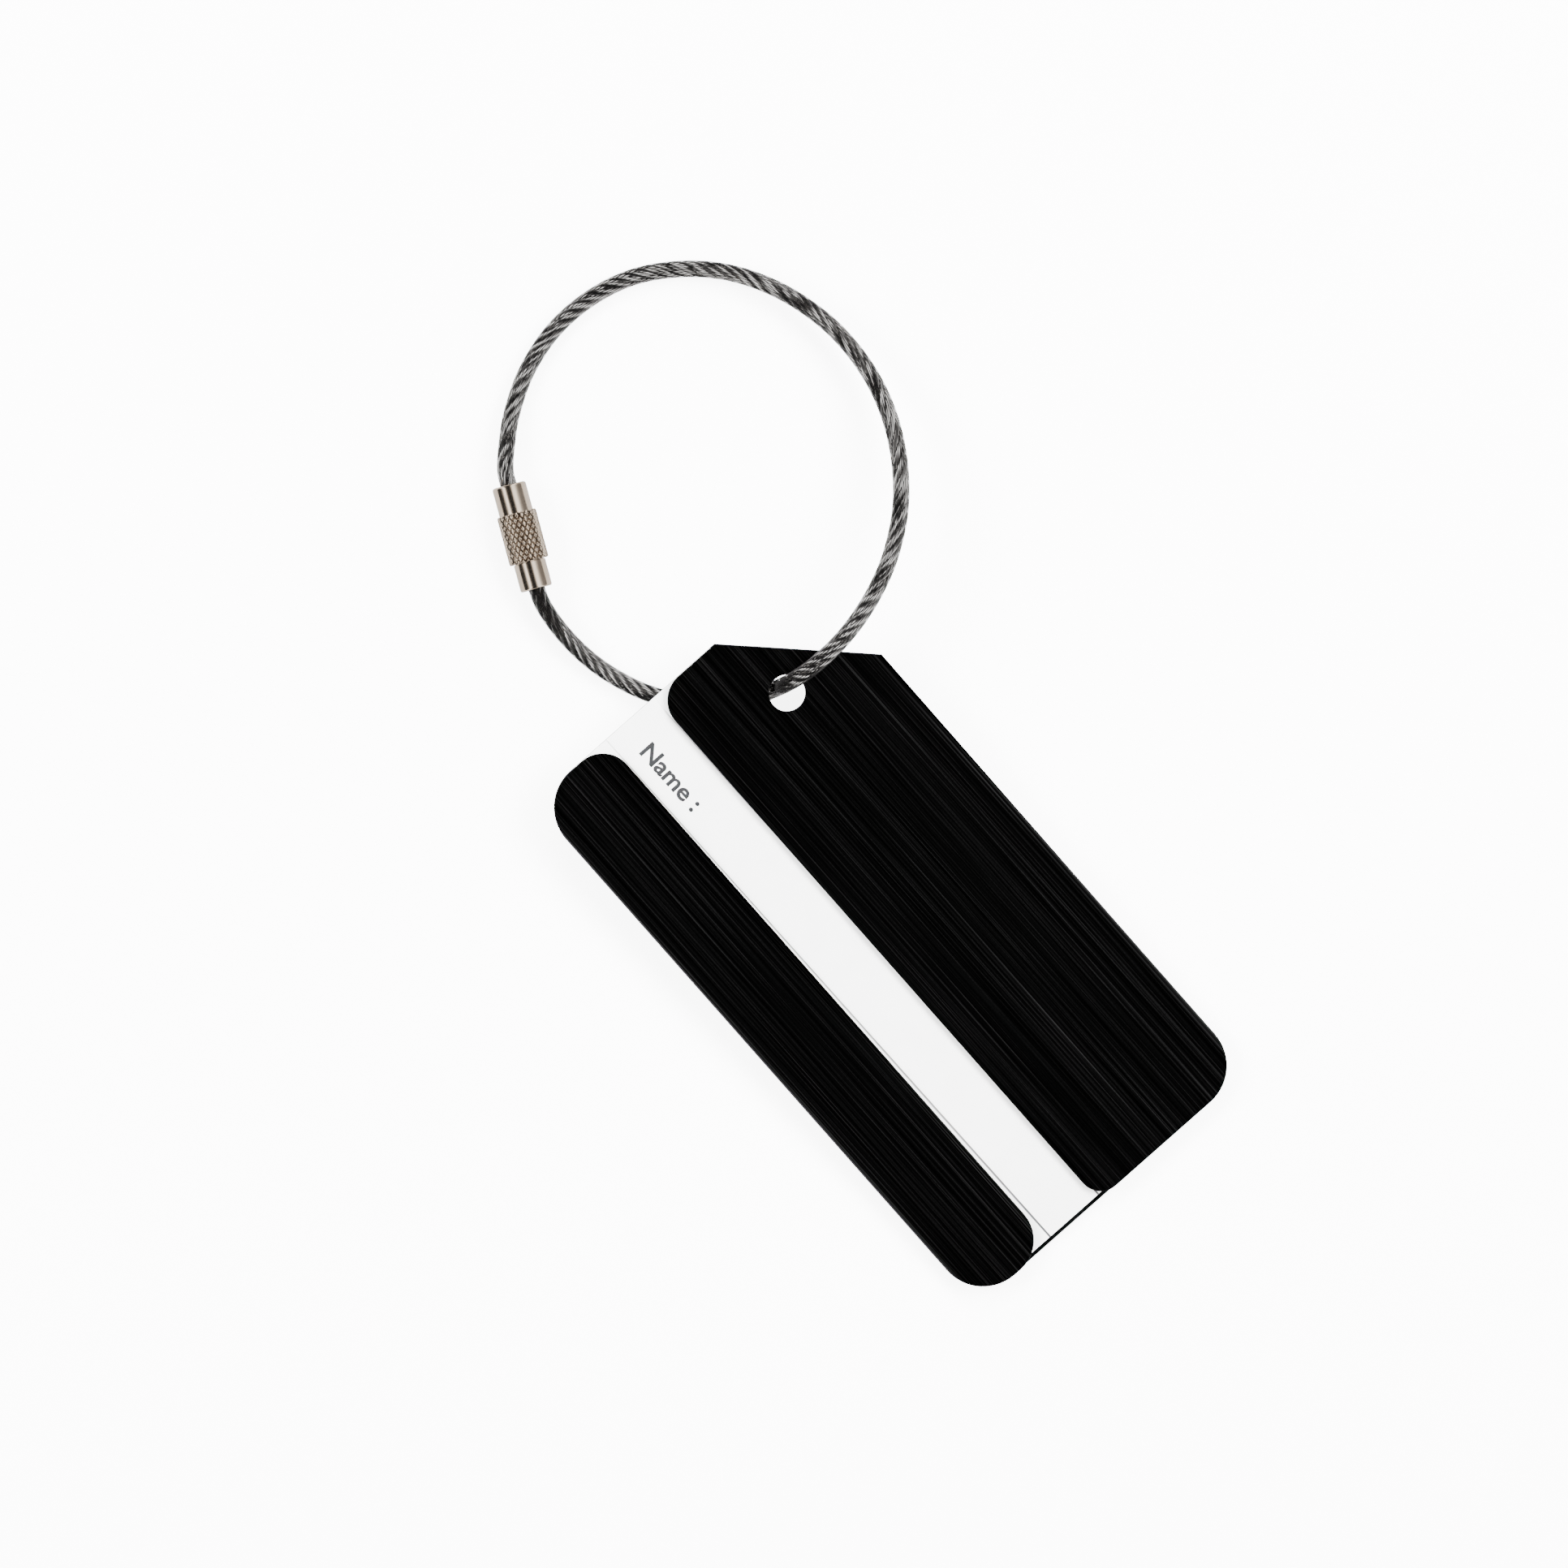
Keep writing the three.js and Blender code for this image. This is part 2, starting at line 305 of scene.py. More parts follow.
def make_group(name, inputs, outputs):
    """A shader node group that reads a vector and the named numbers and gives the named masks.
    Returns its nodes, with the ones at its two ends."""
    tree = bpy.data.node_groups.new(name, "ShaderNodeTree")
    tree.interface.new_socket("Vector", in_out="INPUT", socket_type="NodeSocketVector")
    for label, value in inputs.items():
        socket = tree.interface.new_socket(label, in_out="INPUT", socket_type="NodeSocketFloat")
        socket.default_value = value
    for label in outputs:
        tree.interface.new_socket(label, in_out="OUTPUT", socket_type="NodeSocketFloat")
    nodes = Nodes(tree)
    return nodes, nodes.add("NodeGroupInput"), nodes.add("NodeGroupOutput")


def make_brushing_group():
    """Straight brush lines along Y of the vector: fine, even hair and sparse long streaks."""
    nodes, source, result = make_group(
        "brushing", {"Line width": 0.0001, "Line length": 0.02}, ["Hair", "Streaks"]
    )
    across = nodes.math("DIVIDE", 1.0, source.outputs["Line width"])
    along = nodes.math("DIVIDE", 1.0, source.outputs["Line length"])
    split = nodes.add("ShaderNodeSeparateXYZ")
    nodes.link(source.outputs["Vector"], split.inputs[0])
    joined = nodes.add("ShaderNodeCombineXYZ")
    nodes.link(nodes.math("MULTIPLY", split.outputs[0], across), joined.inputs[0])
    nodes.link(nodes.math("MULTIPLY", split.outputs[1], along), joined.inputs[1])
    nodes.link(nodes.math("MULTIPLY", split.outputs[2], across), joined.inputs[2])
    hair = nodes.noise(joined.outputs[0], 0.9, detail=3.0, roughness=0.65)
    broad = nodes.noise(joined.outputs[0], 0.28, detail=2.0, roughness=0.6)
    both = nodes.math("MULTIPLY", nodes.math("ADD", hair, broad), 0.5)
    nodes.link(hair, result.inputs["Hair"])
    nodes.link(nodes.spread(both, 0.0, 1.0, 0.46, 0.7), result.inputs["Streaks"])
    return nodes.tree


def make_handling_group():
    """Faint cloudy change and fine specks, as on any metal or card that is handled."""
    nodes, source, result = make_group("handling", {"Scale": 200.0}, ["Clouds", "Specks"])
    scaled = nodes.add("ShaderNodeVectorMath", operation="SCALE")
    nodes.link(source.outputs["Vector"], scaled.inputs[0])
    nodes.link(source.outputs["Scale"], scaled.inputs["Scale"])
    nodes.link(nodes.noise(scaled.outputs[0], 1.0, detail=3.0), result.inputs["Clouds"])
    nodes.link(nodes.noise(scaled.outputs[0], 14.0, detail=4.0), result.inputs["Specks"])
    return nodes.tree


def use_group(nodes, tree, vector, **values):
    """Places a group in a material. A value's name has underscores for its input's spaces."""
    node = nodes.add("ShaderNodeGroup", node_tree=tree)
    nodes.link(vector, node.inputs["Vector"])
    for name, value in values.items():
        node.inputs[name.replace("_", " ")].default_value = value
    return node.outputs


def new_material(name):
    """A new material, its nodes and its Principled BSDF."""
    material = bpy.data.materials.new(name)
    material.use_nodes = True
    nodes = Nodes(material.node_tree)
    return material, nodes, material.node_tree.nodes["Principled BSDF"]


def add_bump(nodes, shader, height, strength, distance):
    bump = nodes.add("ShaderNodeBump")
    bump.inputs["Strength"].default_value = strength
    bump.inputs["Distance"].default_value = distance
    nodes.link(height, bump.inputs["Height"])
    nodes.link(bump.outputs["Normal"], shader.inputs["Normal"])


def make_anodised(brushing):
    """Black anodised aluminium, brushed along the case."""
    material, nodes, shader = new_material("black anodised aluminium")
    flat = nodes.turned(nodes.place(), (-LEAN, 0, 0))
    lines = use_group(nodes, brushing, flat, Line_width=0.00006, Line_length=0.03)
    colour = nodes.ramp(
        lines["Streaks"],
        [(0.0, (0.0012,) * 3), (0.4, (0.008,) * 3), (1.0, (0.055, 0.055, 0.056))],
    )
    nodes.link(colour, shader.inputs["Base Color"])
    shader.inputs["Metallic"].default_value = 1.0
    nodes.link(nodes.spread(lines["Hair"], 0.34, 0.52), shader.inputs["Roughness"])
    add_bump(nodes, shader, lines["Hair"], 0.35, 0.00002)
    return material


def make_card_stock(handling):
    """Smooth coated white card with a faint fibre, and painted shade where its crease mark says so.
    """
    material, nodes, shader = new_material("white card")
    marks = use_group(nodes, handling, nodes.place(), Scale=260.0)
    colour = nodes.ramp(
        marks["Clouds"], [(0.25, (0.91, 0.91, 0.905)), (0.75, (0.97, 0.97, 0.965))]
    )
    crease_shade = nodes.add("ShaderNodeAttribute", attribute_name="crease_shade")
    # Painted shade: the crease floors are mixed towards near black, as painted shadow lines along
    # the raised strip.
    folded = nodes.mix_colours(crease_shade.outputs["Fac"], colour, (0.06, 0.06, 0.062))
    nodes.link(folded, shader.inputs["Base Color"])
    shader.inputs["Roughness"].default_value = 0.62
    add_bump(nodes, shader, marks["Specks"], 0.12, 0.00002)
    return material


def make_ink():
    """Dark grey print."""
    material, nodes, shader = new_material("grey print")
    grain = nodes.noise(nodes.place(), 9000.0)
    colour = nodes.ramp(grain, [(0.3, (0.008, 0.008, 0.009)), (0.8, (0.015, 0.015, 0.016))])
    nodes.link(colour, shader.inputs["Base Color"])
    shader.inputs["Roughness"].default_value = 0.7
    return material


def make_wire(handling):
    """Bright drawn steel wire, a little duller in places."""
    material, nodes, shader = new_material("drawn steel wire")
    marks = use_group(nodes, handling, nodes.place(), Scale=500.0)
    colour = nodes.ramp(
        marks["Clouds"], [(0.3, (0.19, 0.184, 0.178)), (0.7, (0.4, 0.39, 0.378))]
    )
    nodes.link(colour, shader.inputs["Base Color"])
    shader.inputs["Metallic"].default_value = 1.0
    nodes.link(nodes.spread(marks["Specks"], 0.08, 0.2), shader.inputs["Roughness"])
    add_bump(nodes, shader, marks["Specks"], 0.2, 0.00001)
    return material


def make_jacket():
    """Thin clear plastic, which darkens the rope's two edges, where it is seen at a slant."""
    material, nodes, shader = new_material("clear jacket")
    shader.inputs["Base Color"].default_value = (0.025, 0.024, 0.024, 1)
    shader.inputs["Roughness"].default_value = 0.25
    shader.inputs["Specular IOR Level"].default_value = 0.05
    facing = nodes.add("ShaderNodeLayerWeight")
    facing.inputs["Blend"].default_value = 0.35
    cover = nodes.spread(facing.outputs["Facing"], 0.04, 0.9, 0.22, 0.62)
    nodes.link(cover, shader.inputs["Alpha"])
    return material


def make_nickel(handling):
    """Bright nickel plate with a warm tint, and painted shade in the knurl's grooves, where its
    groove mark says so.
    """
    material, nodes, shader = new_material("nickel plate")
    marks = use_group(nodes, handling, nodes.place(), Scale=420.0)
    colour = nodes.ramp(
        marks["Clouds"], [(0.3, (0.56, 0.45, 0.345)), (0.7, (0.64, 0.525, 0.415))]
    )
    groove_shade = nodes.add("ShaderNodeAttribute", attribute_name="groove_shade")
    # Painted shade: the deeper a point lies in the knurl, the nearer it is mixed to near black.
    groove_shaded = nodes.mix_colours(groove_shade.outputs["Fac"], colour, (0.02, 0.012, 0.008))
    nodes.link(groove_shaded, shader.inputs["Base Color"])
    shader.inputs["Metallic"].default_value = 1.0
    nodes.link(nodes.spread(marks["Specks"], 0.1, 0.24), shader.inputs["Roughness"])
    add_bump(nodes, shader, marks["Specks"], 0.08, 0.00001)
    return material


# ---------------------------------------------------------------- modelling helpers


def start_piece(name):
    """Names the primitive just added, and opens it in edit mode with all of it selected."""
    piece = bpy.context.object
    piece.name = name
    piece.data.name = name
    bpy.ops.object.transform_apply(location=True, rotation=True, scale=True)
    bpy.ops.object.mode_set(mode="EDIT")
    bpy.ops.mesh.select_all(action="SELECT")
    return piece


def end_edit():
    bpy.ops.object.mode_set(mode="OBJECT")


def select_where(piece, kind, test):
    """Selects the vertices, edges or faces whose middle passes the test, and nothing else."""
    bpy.ops.object.mode_set(mode="EDIT")
    bpy.ops.mesh.select_mode(type=kind)
    bpy.ops.mesh.select_all(action="DESELECT")
    bpy.ops.object.mode_set(mode="OBJECT")
    mesh = piece.data
    for item in {"VERT": mesh.vertices, "EDGE": mesh.edges, "FACE": mesh.polygons}[kind]:
        if kind == "EDGE":
            middle = sum((mesh.vertices[i].co for i in item.vertices), Vector()) / 2
        else:
            middle = item.co if kind == "VERT" else item.center
        item.select = test(middle)
    bpy.ops.object.mode_set(mode="EDIT")


def near(value, target):
    """Whether two lengths agree within a hundredth of a millimetre."""
    return abs(value - target) < 0.01 * MM


def add_plane(name, low, high, height):
    """A flat rectangle from corner low to corner high, opened in edit mode."""
    bpy.ops.object.select_all(action="DESELECT")
    middle = ((low[0] + high[0]) / 2, (low[1] + high[1]) / 2, height)
    bpy.ops.mesh.primitive_plane_add(size=1, location=middle)
    bpy.context.object.scale = (high[0] - low[0], high[1] - low[1], 1)
    return start_piece(name)


def move_selected(offset):
    bpy.ops.transform.translate(value=offset)


def extrude_selected(offset):
    bpy.ops.mesh.extrude_region_move(TRANSFORM_OT_translate={"value": offset})


def round_corner(piece, x, y, radius, segments=10):
    """Rounds one corner of a flat outline. One segment cuts it straight instead."""
    select_where(piece, "VERT", lambda at: near(at.x, x) and near(at.y, y))
    bpy.ops.mesh.bevel(
        offset_type="OFFSET", offset=radius, segments=segments, profile=0.5, affect="VERTICES"
    )


def apply_modifier(piece, kind, **settings):
    bpy.context.view_layer.objects.active = piece
    modifier = piece.modifiers.new(kind.title(), kind)
    for name, value in settings.items():
        setattr(modifier, name, value)
    bpy.ops.object.modifier_apply(modifier=modifier.name)


def cut_with(piece, cutter, operation):
    apply_modifier(piece, "BOOLEAN", operation=operation, object=cutter, solver="EXACT")
    bpy.data.objects.remove(cutter)


def break_edges(piece, width):
    """Takes the sharpness off the edges, and shades the piece smooth across gentle angles."""
    apply_modifier(
        piece, "BEVEL", width=width, segments=2, limit_method="ANGLE",
        angle_limit=math.radians(40), miter_outer="MITER_ARC",
    )
    shade(piece, 30)
    apply_modifier(piece, "WEIGHTED_NORMAL", keep_sharp=True)


def shade(piece, angle):
    bpy.ops.object.select_all(action="DESELECT")
    piece.select_set(True)
    bpy.context.view_layer.objects.active = piece
    bpy.ops.object.shade_smooth_by_angle(angle=math.radians(angle))


def face_outwards(piece):
    bpy.ops.object.mode_set(mode="EDIT")
    bpy.ops.mesh.select_all(action="SELECT")
    bpy.ops.mesh.remove_doubles(threshold=0.001 * MM)
    bpy.ops.mesh.normals_make_consistent(inside=False)
    end_edit()


def set_down(piece, place, material, body, slot, *nodes):
    """Puts a finished piece where it belongs, and ties it to its body and the CAD nodes that it
    stands for. Its slot argument is not used."""
    piece.data.transform(place)
    piece.data.materials.clear()
    piece.data.materials.append(material)
    if nodes:
        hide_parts(*nodes)
    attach(piece, body)
    return piece


# ---------------------------------------------------------------- case


def make_case_outline():
    """A block of the case's plan shape, which runs on past its straight sides so that it
    cuts only at the corners."""
    x, y = CASE_WIDTH / 2, CASE_LENGTH / 2
    past = 3 * MM
    block = add_plane("outline", (-x, -y), (x, y), -past)
    for side, end in ((-1, -1), (1, -1), (-1, 1)):
        round_corner(block, side * x, end * y, CORNER_RADIUS, CORNER_STEPS)
    round_corner(block, x, y, CUT_CORNER, segments=1)
    straight_sides = [
        (lambda at: near(at.y, -y), (0, -past, 0)),
        (lambda at: near(at.y, y), (0, past, 0)),
        (lambda at: near(at.x, -x), (-past, 0, 0)),
        (lambda at: near(at.x, x), (past, 0, 0)),
    ]
    for test, offset in straight_sides:
        select_where(block, "EDGE", test)
        extrude_selected(offset)
    bpy.ops.mesh.select_all(action="SELECT")
    extrude_selected((0, 0, 2 * past + CASE_THICKNESS))
    end_edit()
    face_outwards(block)
    return block


def fold_side(sheet, side, flap_edge):
    """Rolls one long edge of the back panel over, and runs it in as a front flap."""
    fold_x = side * (CASE_WIDTH - CASE_THICKNESS) / 2
    select_where(sheet, "EDGE", lambda at: near(at.x, fold_x) and near(at.z, SHEET / 2))
    bpy.ops.mesh.spin(
        steps=FOLD_STEPS, angle=math.pi, center=(fold_x, 0, CASE_THICKNESS / 2), axis=(0, side, 0)
    )
    top = CASE_THICKNESS - SHEET / 2
    select_where(sheet, "EDGE", lambda at: near(at.x, fold_x) and near(at.z, top))
    extrude_selected((flap_edge - fold_x, 0, 0))


def drill_hole(sheet, place, height):
    """Drills a round hole. The drill is two case thicknesses long and has its middle at the
    given height, so it can end in the pocket and go through one sheet alone."""
    bpy.ops.mesh.primitive_cylinder_add(
        vertices=HOLE_STEPS, radius=HOLE_RADIUS, depth=2 * CASE_THICKNESS, location=(*place, height)
    )
    cut_with(sheet, bpy.context.object, "DIFFERENCE")


def make_case(material):
    fold_x = (CASE_WIDTH - CASE_THICKNESS) / 2
    y = CASE_LENGTH / 2
    sheet = add_plane("folded_case", (-fold_x, -y), (fold_x, y), SHEET / 2)
    fold_side(sheet, -1, SLOT_LEFT)
    fold_side(sheet, 1, SLOT_RIGHT)
    round_corner(sheet, SLOT_LEFT, y, TOP_ROUNDING)
    round_corner(sheet, SLOT_RIGHT, y, TOP_ROUNDING)
    round_corner(sheet, SLOT_LEFT, -y, LEFT_FOOT_ROUNDING)
    round_corner(sheet, SLOT_RIGHT, -y, RIGHT_FOOT_ROUNDING)
    end_edit()
    face_outwards(sheet)
    apply_modifier(sheet, "SOLIDIFY", thickness=SHEET, offset=0, use_even_offset=True)
    cut_with(sheet, make_case_outline(), "INTERSECT")
    drill_hole(sheet, HOLE_PLACE, CASE_THICKNESS * 1.5)
    drill_hole(sheet, BACK_HOLE_PLACE, -CASE_THICKNESS / 2)
    break_edges(sheet, EDGE_BREAK)
    return set_down(sheet, FROM_CASE_PLANE, material, "case", "anodised_case", "case")


# ---------------------------------------------------------------- card


def make_card(material):
    """A card with a raised strip pressed into it, which shows in the case's slot."""
    cut_x, cut_y = CARD_CUT
    x = CARD_HALF_WIDTH
    card = add_plane("printed_card", (-x, CARD_BOTTOM), (cut_x, cut_y), 0)
    select_where(card, "EDGE", lambda at: near(at.y, cut_y))
    extrude_selected((0, CARD_TOP - cut_y, 0))
    select_where(card, "EDGE", lambda at: near(at.x, cut_x) and at.y < cut_y)
    extrude_selected((x - cut_x, 0, 0))
    select_where(card, "VERT", lambda at: near(at.x, x) and near(at.y, cut_y))
    move_selected((0, cut_x - x, 0))
    round_corner(card, -x, CARD_BOTTOM, CARD_CORNER_RADIUS)
    round_corner(card, x, CARD_BOTTOM, CARD_CORNER_RADIUS)
    round_corner(card, -x, CARD_TOP, CARD_CORNER_RADIUS)
    bpy.ops.mesh.select_all(action="SELECT")
    bpy.ops.mesh.dissolve_limited(angle_limit=math.radians(1))
    bpy.ops.mesh.select_all(action="SELECT")
    extrude_selected((0, 0, CARD_THICKNESS))
    end_edit()
    face_outwards(card)
    raise_panel(card)
    break_edges(card, CARD_EDGE_BREAK)
    paint_crease_shade(card)
    place = FROM_CASE_PLANE @ Matrix.Translation((0, 0, (CASE_THICKNESS - CARD_THICKNESS) / 2))
    return set_down(card, place, material, "card", "card", "name_card")


def raise_panel(card):
    """Lifts the strip of the card that shows in the slot, a little out of line with it, and
    presses a crease down each of its sides."""
    middle = Vector((PANEL_MIDDLE, 0, 0))
    across = Vector((math.cos(PANEL_TURN), math.sin(PANEL_TURN), 0))
    half = PANEL_WIDTH / 2
    for distance in (-half - CREASE_WIDTH, -half, half, half + CREASE_WIDTH):
        select_where(card, "FACE", lambda at: True)
        bpy.ops.mesh.bisect(plane_co=middle + across * distance, plane_no=across)

    def off_middle(at):
        return abs((at - middle).dot(across))

    def in_crease(at):
        return near(at.z, CARD_THICKNESS) and half < off_middle(at) < half + CREASE_WIDTH

    def on_panel(at):
        return near(at.z, CARD_THICKNESS) and off_middle(at) < half

    select_where(card, "FACE", in_crease)
    extrude_selected((0, 0, -CREASE_DEPTH))
    select_where(card, "FACE", on_panel)
    extrude_selected((0, 0, PANEL_RISE))
    end_edit()


def paint_crease_shade(card):
    """Notes how much painted shade each crease floor gets: more and more towards the card's bottom
    end.
    """
    crease_shade_values = card.data.attributes.new("crease_shade", "FLOAT", "POINT")
    floor = CARD_THICKNESS - CREASE_DEPTH
    for vertex, mark in zip(card.data.vertices, crease_shade_values.data):
        if near(vertex.co.z, floor):
            mark.value = (CARD_TOP - vertex.co.y) / (CARD_TOP - CARD_BOTTOM)


def make_label(material):
    """The printed field label, read along the card from its top end."""
    bpy.ops.object.select_all(action="DESELECT")
    bpy.ops.object.text_add()
    text = bpy.context.object
    text.name = "field_label"
    text.data.body = "Name :"
    text.data.size = 1
    text.data.offset = LABEL_WEIGHT
    text.data.resolution_u = 6
    bpy.ops.object.convert(target="MESH")
    label = bpy.context.object
    corners = [Vector(corner) for corner in label.bound_box]
    low = Vector(map(min, zip(*corners)))
    high = Vector(map(max, zip(*corners)))
    wide = LABEL_LENGTH / (high.x - low.x)
    tall = LABEL_HEIGHT / (high.y - low.y)
    surface = (CASE_THICKNESS + CARD_THICKNESS) / 2 + PANEL_RISE + INK_LIFT
    place = (
        FROM_CASE_PLANE
        @ Matrix.Translation((LABEL_BASELINE, LABEL_START, surface))
        @ Matrix.Rotation(-math.pi / 2, 4, "Z")
        @ Matrix.Diagonal((wide, tall, 1, 1))
        @ Matrix.Translation((-low.x, -low.y, 0))
    )
    return set_down(label, place, material, "card", "card")


# ---------------------------------------------------------------- rope


def smooth_route(points, step):
    """Evenly spaced points on the uniform Catmull-Rom curve through the given points."""
    knots = np.array([list(p) for p in points])
    knots = np.vstack([2 * knots[0] - knots[1], knots, 2 * knots[-1] - knots[-2]])
    fine = []
    for a, b, c, d in zip(knots, knots[1:], knots[2:], knots[3:]):
        for u in np.arange(0, 1, 0.02):
            fine.append(
                0.5 * (2 * b + (c - a) * u + (2 * a - 5 * b + 4 * c - d) * u**2
                       + (3 * b - a - 3 * c + d) * u**3)
            )
    fine.append(knots[-2])
    fine = np.array(fine)
    lengths = np.concatenate([[0], np.cumsum(np.linalg.norm(np.diff(fine, axis=0), axis=1))])
    count = round(lengths[-1] / step)
    even = np.linspace(0, lengths[-1], count + 1)
    return np.stack([np.interp(even, lengths, fine[:, axis]) for axis in range(3)], axis=1)


def frames_along(path):
    """The path's tangents, with two sideways directions that turn no more than they must."""
    tangents = np.gradient(path, axis=0)
    tangents /= np.linalg.norm(tangents, axis=1)[:, None]
    side = np.cross(tangents[0], [0, 0, 1])
    sides = []
    for tangent in tangents:
        side = side - tangent * np.dot(side, tangent)
        side = side / np.linalg.norm(side)
        sides.append(side)
    sides = np.array(sides)
    return tangents, sides, np.cross(tangents, sides)


def helix_round(path, radius, lay, phase):
    """A line wound round a path: once in each lay length, right-handed if lay is positive."""
    _, sides, ups = frames_along(path)
    steps = np.linalg.norm(np.diff(path, axis=0), axis=1)
    along = np.concatenate([[0], np.cumsum(steps)])
    angle = (phase + 2 * math.pi * along / lay)[:, None]
    return path + radius * (np.cos(angle) * sides + np.sin(angle) * ups)


def tube_mesh(name, lines, radius, sides):
    """One mesh with a closed round tube along each of the lines."""
    vertices, faces = [], []
    around = np.linspace(0, 2 * math.pi, sides, endpoint=False)
    for line in lines:
        _, across, up = frames_along(line)
        first = len(vertices)
        for point, a, b in zip(line, across, up):
            vertices.extend(point + radius * (math.cos(t) * a + math.sin(t) * b) for t in around)
        for ring in range(len(line) - 1):
            start = first + ring * sides
            for k in range(sides):
                after = (k + 1) % sides
                faces.append((start + k, start + after, start + sides + after, start + sides + k))
        last = first + (len(line) - 1) * sides
        faces.append(tuple(range(first + sides - 1, first - 1, -1)))
        faces.append(tuple(range(last, last + sides)))
    mesh = bpy.data.meshes.new(name)
    mesh.from_pydata([tuple(v) for v in vertices], [], faces)
    piece = bpy.data.objects.new(name, mesh)
    bpy.context.collection.objects.link(piece)
    shade(piece, 50)
    return piece


def make_rope(wire, clear):
    """Lays the strands' wires and the jacket along the cable's route."""
    path = smooth_route(CABLE_ROUTE, ROUTE_STEP)
    strands = []
    for k in range(STRANDS):
        centre = helix_round(path, STRAND_CIRCLE, STRAND_LAY, 2 * math.pi * k / STRANDS)
        wires = [
            helix_round(centre, WIRE_CIRCLE, -WIRE_LAY, 2 * math.pi * w / WIRES)
            for w in range(WIRES)
        ]
        strand = tube_mesh(f"strand_{k + 1}", wires, WIRE_RADIUS, sides=6)
        strands.append(set_down(strand, Matrix(), wire, "loop", "wire_rope"))
    core = tube_mesh("core_strand", [path], STRAND_RADIUS, sides=8)
    strands.append(set_down(core, Matrix(), wire, "loop", "wire_rope"))
    jacket = tube_mesh("cable_jacket", [path], CABLE_DIAMETER / 2, sides=28)
    set_down(jacket, Matrix(), clear, "loop", "wire_rope", "cable")
    return jacket, strands, path


# ---------------------------------------------------------------- clasp


def turned(name, profile, segments):
    """A turned piece along +Z: a ring of edges carried from one (radius, along) to the next."""
    bpy.ops.object.select_all(action="DESELECT")
    radius, along = profile[0]
    bpy.ops.mesh.primitive_circle_add(vertices=segments, radius=radius, location=(0, 0, along))
    piece = start_piece(name)
    for new_radius, new_along in profile[1:]:
        extrude_selected((0, 0, new_along - along))
        scale = new_radius / radius
        bpy.ops.transform.resize(value=(scale, scale, 1), center_override=(0, 0, new_along))
        radius, along = new_radius, new_along
    end_edit()
    return piece


def close_ends(piece):
    """Fills the open rings of a turned piece."""
    bpy.ops.object.mode_set(mode="EDIT")
    bpy.ops.mesh.select_mode(type="EDGE")
    bpy.ops.mesh.select_all(action="DESELECT")
    bpy.ops.mesh.select_non_manifold(
        extend=False, use_wire=False, use_boundary=True,
        use_multi_face=False, use_non_contiguous=False, use_verts=False,
    )
    bpy.ops.mesh.fill_holes(sides=0)
    end_edit()


def reshape_round(piece, radius_at):
    """Moves each point of a turned piece to the radius that radius_at gives for its radius,
    its angle and its place along the piece."""
    for vertex in piece.data.vertices:
        x, y, z = vertex.co
        radius = math.hypot(x, y)
        if radius > 0:
            scale = radius_at(radius, math.atan2(y, x), z) / radius
            vertex.co = (x * scale, y * scale, z)


def wave(turns):
    """A triangle wave: 0 at whole turns and 1 half way between."""
    return 1 - abs(2 * (turns % 1) - 1)


def make_stud(material):
    """Ferrule crimped on the cable, with a threaded stud."""
    root, crest = 1.14 * MM, 1.4 * MM
    pitch = 0.5 * MM
    thread_start = FERRULE_LENGTH + 0.12 * MM
    thread_end = 6.2 * MM
    bore_depth = 2.3 * MM
    bore_flare = (0.1 * MM, 0.12 * MM)
    open_rounding = 0.22 * MM
    thread_side_rounding = 0.07 * MM
    washer_radius = 1.75 * MM
    washer_end = FERRULE_LENGTH + 0.05 * MM
    small = 0.01 * MM
    profile = [(CABLE_BORE, bore_depth), (CABLE_BORE, bore_flare[1])]
    profile += [(CABLE_BORE + bore_flare[0], 0)]
    profile += [
        (FERRULE_RADIUS - open_rounding * (1 - math.sin(a)), open_rounding * (1 - math.cos(a)))
        for a in np.linspace(0, math.pi / 2, 6)
    ]
    profile += [
        (FERRULE_RADIUS - thread_side_rounding * (1 - math.cos(a)),
         FERRULE_LENGTH - thread_side_rounding * (1 - math.sin(a)))
        for a in np.linspace(0, math.pi / 2, 4)
    ]
    profile += [(washer_radius, FERRULE_LENGTH), (washer_radius, washer_end)]
    profile += [(root, washer_end + small), (root, thread_start - small)]
    profile += [(crest, z) for z in np.linspace(thread_start, thread_end, 72)]
    profile += [(root - 0.1 * MM, thread_end + 0.1 * MM)]
    stud = turned("ferrule_and_stud", profile, 72)

    def thread(radius, angle, along):
        if not near(radius, crest):
            return radius
        lead_in = min(1, (thread_end - along) / pitch * 1.5)
        height = wave(along / pitch - angle / (2 * math.pi))
        return root + (crest - root) * min(1, 1.25 * height) * max(lead_in, 0)

    reshape_round(stud, thread)
    close_ends(stud)
    face_outwards(stud)
    shade(stud, 28)
    return set_down(stud, FROM_CLASP_LINE, material, "loop", "nickel", "clasp_stud")


